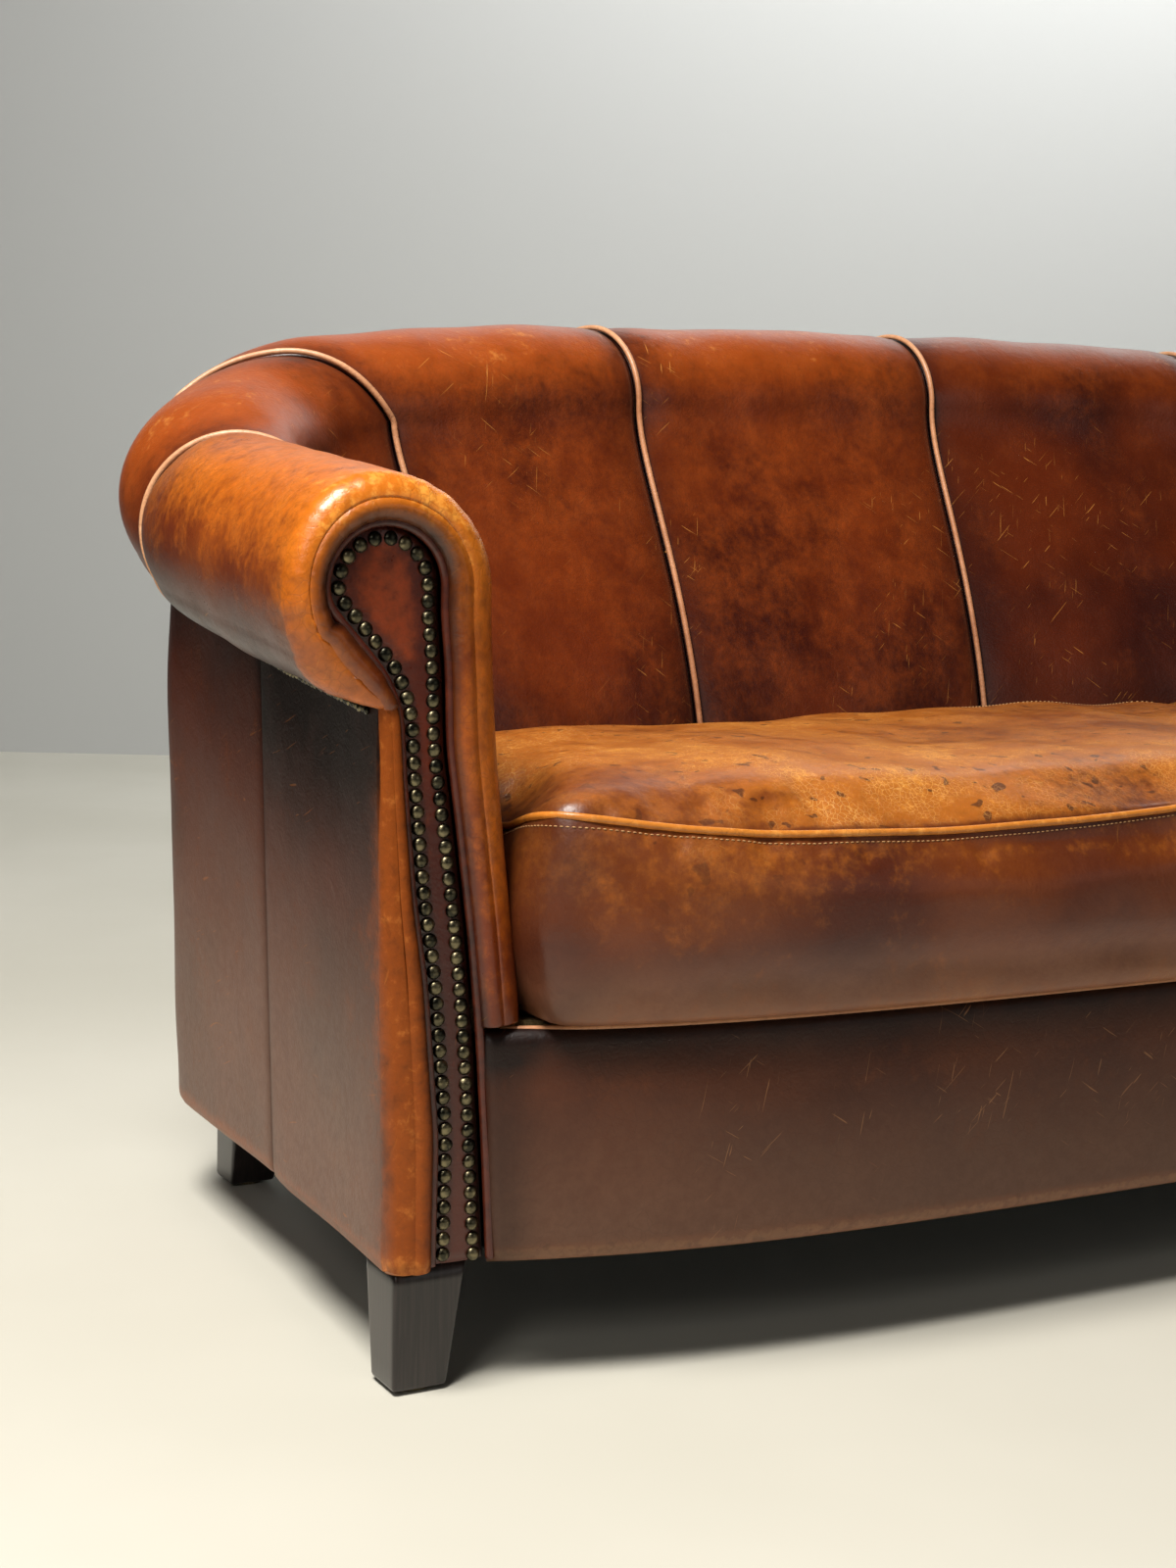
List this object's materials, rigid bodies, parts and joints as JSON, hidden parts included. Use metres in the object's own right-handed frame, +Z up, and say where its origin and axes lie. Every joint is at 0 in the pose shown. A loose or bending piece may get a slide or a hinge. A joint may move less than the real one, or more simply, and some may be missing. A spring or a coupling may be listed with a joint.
{
  "type": "worn leather sofa",
  "caption": "Low tub sofa in worn leather: channelled back running round into rolled arms, loose seat cushions, nailed arm fronts, bow front and short tapered feet.",
  "frame": {"origin": "on the floor, under the middle of the whole sofa: half its width and half its depth", "axes": "+X to the sitter's left along the length, -Y out of the front, +Z up"},
  "size_m": [2.2664, 0.8317, 0.8125],
  "materials": {
    "tub_leather": "aged aniline hide, red-brown, scuffed and rubbed pale at the edges",
    "cushion_leather": "worn hide, golden tan on top with a fine crackle, browner on the border",
    "piping_leather": "piping rubbed to pale tan",
    "welt_leather": "dark red-brown welt",
    "nail_brass": "antique brass, darkened",
    "dark_wood": "black-brown stained hardwood, satin",
    "frame_wood": "sawn beech, bare",
    "spring_steel": "oiled spring wire",
    "jute": "coarse jute canvas",
    "black_cloth": "thin black non-woven cloth",
    "felt": "pressed felt pad"
  },
  "bodies": {
    "root": {"back_middle_pad": "tub_leather", "left_back_inner_pad": "tub_leather", "left_back_outer_pad": "tub_leather", "left_corner_pad": "tub_leather", "left_arm_pad": "tub_leather", "right_back_inner_pad": "tub_leather", "right_back_outer_pad": "tub_leather", "right_corner_pad": "tub_leather", "right_arm_pad": "tub_leather", "left_back_inner_piping": "piping_leather", "left_back_outer_piping": "piping_leather", "left_corner_piping": "piping_leather", "left_arm_piping": "piping_leather", "right_back_inner_piping": "piping_leather", "right_back_outer_piping": "piping_leather", "right_corner_piping": "piping_leather", "right_arm_piping": "piping_leather", "tub_lining": "jute", "top_rail": "frame_wood", "outer_back_middle": "tub_leather", "left_outer_back": "tub_leather", "left_outer_arm": "tub_leather", "right_outer_back": "tub_leather", "right_outer_arm": "tub_leather", "left_roll_nails": "nail_brass", "right_roll_nails": "nail_brass", "left_facing_welt": "welt_leather", "left_facing": "tub_leather", "left_arm_front_rim": "tub_leather", "left_facing_nails": "nail_brass", "right_facing_welt": "welt_leather", "right_facing": "tub_leather", "right_arm_front_rim": "tub_leather", "right_facing_nails": "nail_brass", "apron": "tub_leather", "front_rail": "frame_wood", "apron_piping": "piping_leather", "rear_rail": "frame_wood", "left_side_rail": "frame_wood", "right_side_rail": "frame_wood", "rear_seat_rail": "frame_wood", "front_left_foot": "dark_wood", "front_left_glide": "felt", "rear_left_foot": "dark_wood", "rear_left_glide": "felt", "front_right_foot": "dark_wood", "front_right_glide": "felt", "rear_right_foot": "dark_wood", "rear_right_glide": "felt", "seat_springs": "spring_steel", "seat_deck": "jute", "left_seat_cushion": "cushion_leather", "right_seat_cushion": "cushion_leather", "left_back_post": "frame_wood", "left_corner_post": "frame_wood", "left_arm_board": "frame_wood", "right_back_post": "frame_wood", "right_corner_post": "frame_wood", "right_arm_board": "frame_wood", "dust_cloth": "black_cloth"}
  },
  "joints": []
}
